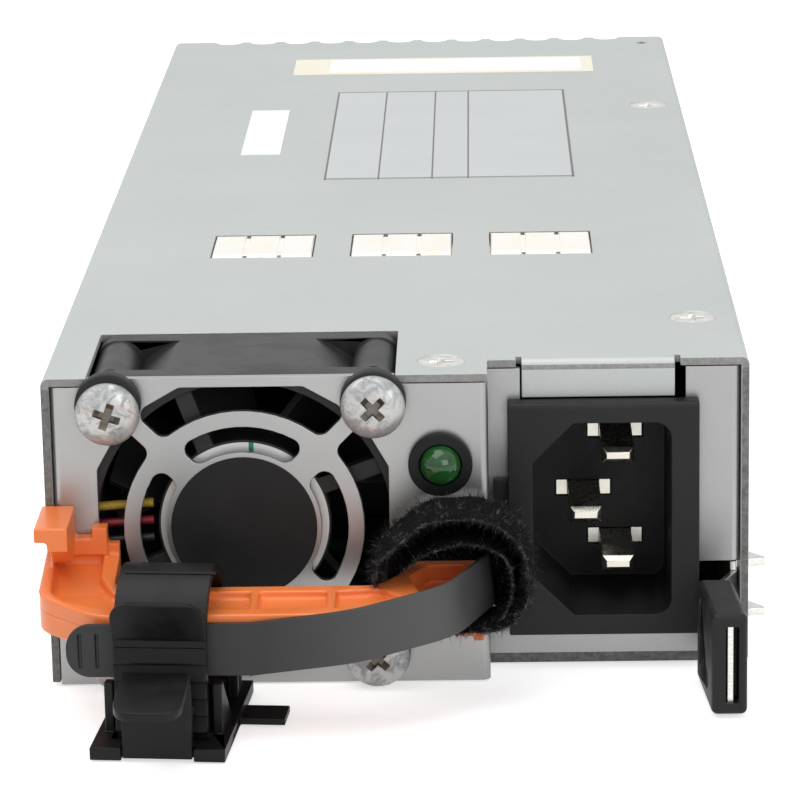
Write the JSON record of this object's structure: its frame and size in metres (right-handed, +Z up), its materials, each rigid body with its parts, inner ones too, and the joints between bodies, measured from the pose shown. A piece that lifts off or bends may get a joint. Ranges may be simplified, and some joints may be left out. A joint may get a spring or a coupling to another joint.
{
  "type": "server power supply",
  "caption": "Flat hot swap server power supply with front fan, mains inlet, status lamp, moulded handle, side latch and a cable clamp and strap stowed on the handle.",
  "frame": {"origin": "middle of the chassis bottom face", "axes": "+Z up, +Y from the front panel towards the rear connector, +X to the right as seen from the front"},
  "size_m": [0.0886, 0.2717, 0.04],
  "materials": {
    "galvanised_steel": "satin",
    "panel_steel": "satin",
    "bright_steel": "satin",
    "zinc_screw": "satin",
    "spring_steel": "polished",
    "label_silver": "satin",
    "label_white": "matte",
    "tape_cream": "matte",
    "black_fan": "satin",
    "black_nylon": "satin",
    "black_inlet": "matte",
    "orange_plastic": "satin",
    "soft_band": "matte",
    "hook_loop": "matte",
    "black_rubber": "matte",
    "green_lens": "gloss",
    "tinned_brass": "satin",
    "gold": "polished",
    "copper_wire": "gloss",
    "wire_yellow": "satin",
    "wire_red": "satin",
    "wire_black": "satin",
    "wire_white": "satin",
    "board_green": "satin",
    "film_grey": "satin",
    "aluminium": "brushed",
    "ferrite": "matte",
    "tape_yellow": "satin",
    "capacitor_sleeve": "satin",
    "component_black": "matte",
    "magnet": "matte"
  },
  "bodies": {
    "case": {"board_screws": "zinc_screw", "board_standoffs": "tinned_brass", "boost_choke_core": "ferrite", "boost_choke_winding": "copper_wire", "bulk_capacitors": "capacitor_sleeve", "chassis_base": "panel_steel", "clamp_base": "black_nylon", "control_board": "board_green", "control_chips": "component_black", "cover_screws": "bright_steel", "edge_contacts": "gold", "emi_clips": "spring_steel", "fan_bearings": "bright_steel", "fan_frame": "black_fan", "fan_grommets": "black_rubber", "fan_hub_label": "label_silver", "fan_plug": "wire_white", "fan_screws": "zinc_screw", "fan_stator": "copper_wire", "fan_wire_black": "wire_black", "fan_wire_red": "wire_red", "fan_wire_yellow": "wire_yellow", "film_capacitor": "tape_yellow", "grille_sticker": "black_nylon", "handle": "orange_plastic", "handle_band": "soft_band", "hook_loop_strap": "hook_loop", "inlet_housing": "black_inlet", "inlet_pins": "tinned_brass", "inlet_wires": "wire_black", "input_fuse": "wire_white", "inrush_relay": "component_black", "insulation_sheet": "film_grey", "latch_rivets": "bright_steel", "led_bezel": "black_nylon", "led_leads": "bright_steel", "led_lens": "green_lens", "line_choke_core": "ferrite", "line_choke_winding": "copper_wire", "main_board": "board_green", "output_busbars": "copper_wire", "output_capacitors": "capacitor_sleeve", "paper_strip": "label_white", "power_transistors": "component_black", "primary_heatsink": "aluminium", "rating_label": "label_silver", "secondary_heatsink": "aluminium", "small_label": "label_white", "tape_strip": "tape_cream", "top_cover": "galvanised_steel", "transformer_core": "ferrite", "transformer_winding": "tape_yellow"},
    "fan_wheel": {"fan_rotor": "black_fan", "fan_shaft": "bright_steel", "fan_magnet": "magnet"},
    "side_latch": {"latch_leaf": "bright_steel", "latch_tab": "black_inlet"},
    "clamp_ribbon": {"clamp_loop": "black_nylon"},
    "clamp_release": {"clamp_lever": "black_nylon"}
  },
  "joints": [
    {"name": "fan_spin", "type": "hinge", "parent": "case", "child": "fan_wheel", "pos_m": [-0.0188, -0.104, 0.02], "axis": [0, 1, 0], "continuous": true},
    {"name": "latch_press", "type": "hinge", "parent": "case", "child": "side_latch", "pos_m": [0.0412, -0.062, 0.006], "axis": [0, 0, -1], "range_deg": [0, 2.6], "stiffness_Nm_per_rad": 2},
    {"name": "ribbon_open", "type": "hinge", "parent": "case", "child": "clamp_ribbon", "pos_m": [-0.02634, -0.12124, 0.003], "axis": [-0.9965, 0.0837, 0], "range_deg": [0, 3]},
    {"name": "release_press", "type": "hinge", "parent": "case", "child": "clamp_release", "pos_m": [-0.02797, -0.14062, 0.00085], "axis": [0.9965, -0.0837, 0], "range_deg": [0, 8], "stiffness_Nm_per_rad": 0.05}
  ]
}
